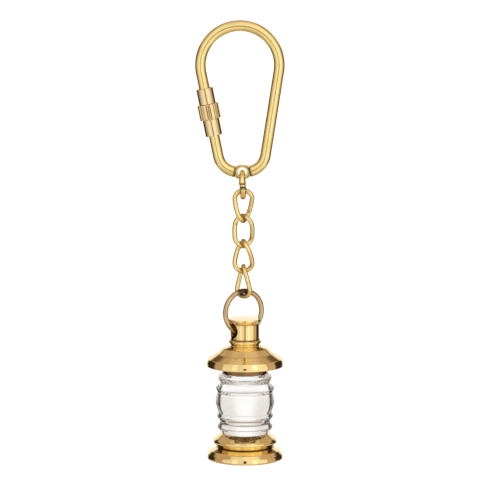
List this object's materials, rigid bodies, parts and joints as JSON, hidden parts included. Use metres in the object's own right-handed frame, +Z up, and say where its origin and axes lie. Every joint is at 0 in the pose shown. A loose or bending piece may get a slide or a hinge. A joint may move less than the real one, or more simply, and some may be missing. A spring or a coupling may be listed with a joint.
{
  "type": "ship lantern key ring charm",
  "caption": "Brass key-ring charm: pear-shaped screw clip, short twisted chain and a turned miniature ship lantern with a clear ribbed lens.",
  "frame": {"origin": "inside top of the clip's arch, where the charm hangs from a hook", "axes": "+Z up, X across the flat of the clip with the screw sleeve at -X, -Y towards the front"},
  "size_m": [0.0227, 0.0199, 0.1126],
  "materials": {
    "brass_satin": "satin",
    "brass_polished": "polished",
    "brass_aged": "lightly tarnished",
    "brass_browned": "browned",
    "brass_plain": "plain",
    "clear_acrylic": "clear polished"
  },
  "bodies": {
    "clip": {"clip_frame": "brass_satin"},
    "sleeve": {"sleeve_barrel": "brass_satin"},
    "grip": {"sleeve_collar": "brass_satin"},
    "joiner": {"joiner_link": "brass_satin"},
    "link_1": {"chain_link_1": "brass_satin"},
    "link_2": {"chain_link_2": "brass_satin"},
    "link_3": {"chain_link_3": "brass_satin"},
    "link_4": {"chain_link_4": "brass_satin"},
    "ring": {"lantern_ring": "brass_aged"},
    "lantern": {"cap": "brass_polished", "stud": "brass_plain", "roof": "brass_polished", "gallery": "brass_browned", "lens": "clear_acrylic", "base": "brass_polished"}
  },
  "joints": [
    {"name": "sleeve_slide", "type": "slide", "parent": "clip", "child": "sleeve", "axis": [-0.1988, 0, 0.98], "range_m": [0, 0.0045]},
    {"name": "grip_turn", "type": "hinge", "parent": "sleeve", "child": "grip", "pos_m": [-0.0076, 0, -0.02037], "axis": [-0.1988, 0, 0.98], "range_deg": [0, 3240]},
    {"name": "eye_swing", "type": "hinge", "parent": "clip", "child": "joiner", "pos_m": [0.00089, 0, -0.03606], "axis": [0, 1, 0], "range_deg": [-35, 35]},
    {"name": "link_1_swing", "type": "hinge", "parent": "joiner", "child": "link_1", "pos_m": [0.00109, 0, -0.04058], "axis": [0.9903, -0.1392, 0], "range_deg": [-30, 30]},
    {"name": "link_2_swing", "type": "hinge", "parent": "link_1", "child": "link_2", "pos_m": [0.00109, 0, -0.04836], "axis": [0.309, 0.9511, 0], "range_deg": [-30, 30]},
    {"name": "link_3_swing", "type": "hinge", "parent": "link_2", "child": "link_3", "pos_m": [0.00109, 0, -0.05485], "axis": [0.766, 0.6428, 0], "range_deg": [-30, 30]},
    {"name": "link_4_swing", "type": "hinge", "parent": "link_3", "child": "link_4", "pos_m": [0.00109, 0, -0.06135], "axis": [0.9511, 0.309, 0], "range_deg": [-30, 30]},
    {"name": "ring_swing", "type": "hinge", "parent": "link_4", "child": "ring", "pos_m": [0.00109, 0, -0.06784], "axis": [0.866, -0.5, 0], "range_deg": [-30, 30]},
    {"name": "lantern_swing", "type": "hinge", "parent": "ring", "child": "lantern", "pos_m": [0.00148, -0.00065, -0.07649], "axis": [0.8616, 0.5075, 0], "range_deg": [-60, 60]}
  ],
  "couplings": [
    {"joint": "grip_turn", "follows": "sleeve_slide", "rad_per_m": 12565}
  ]
}
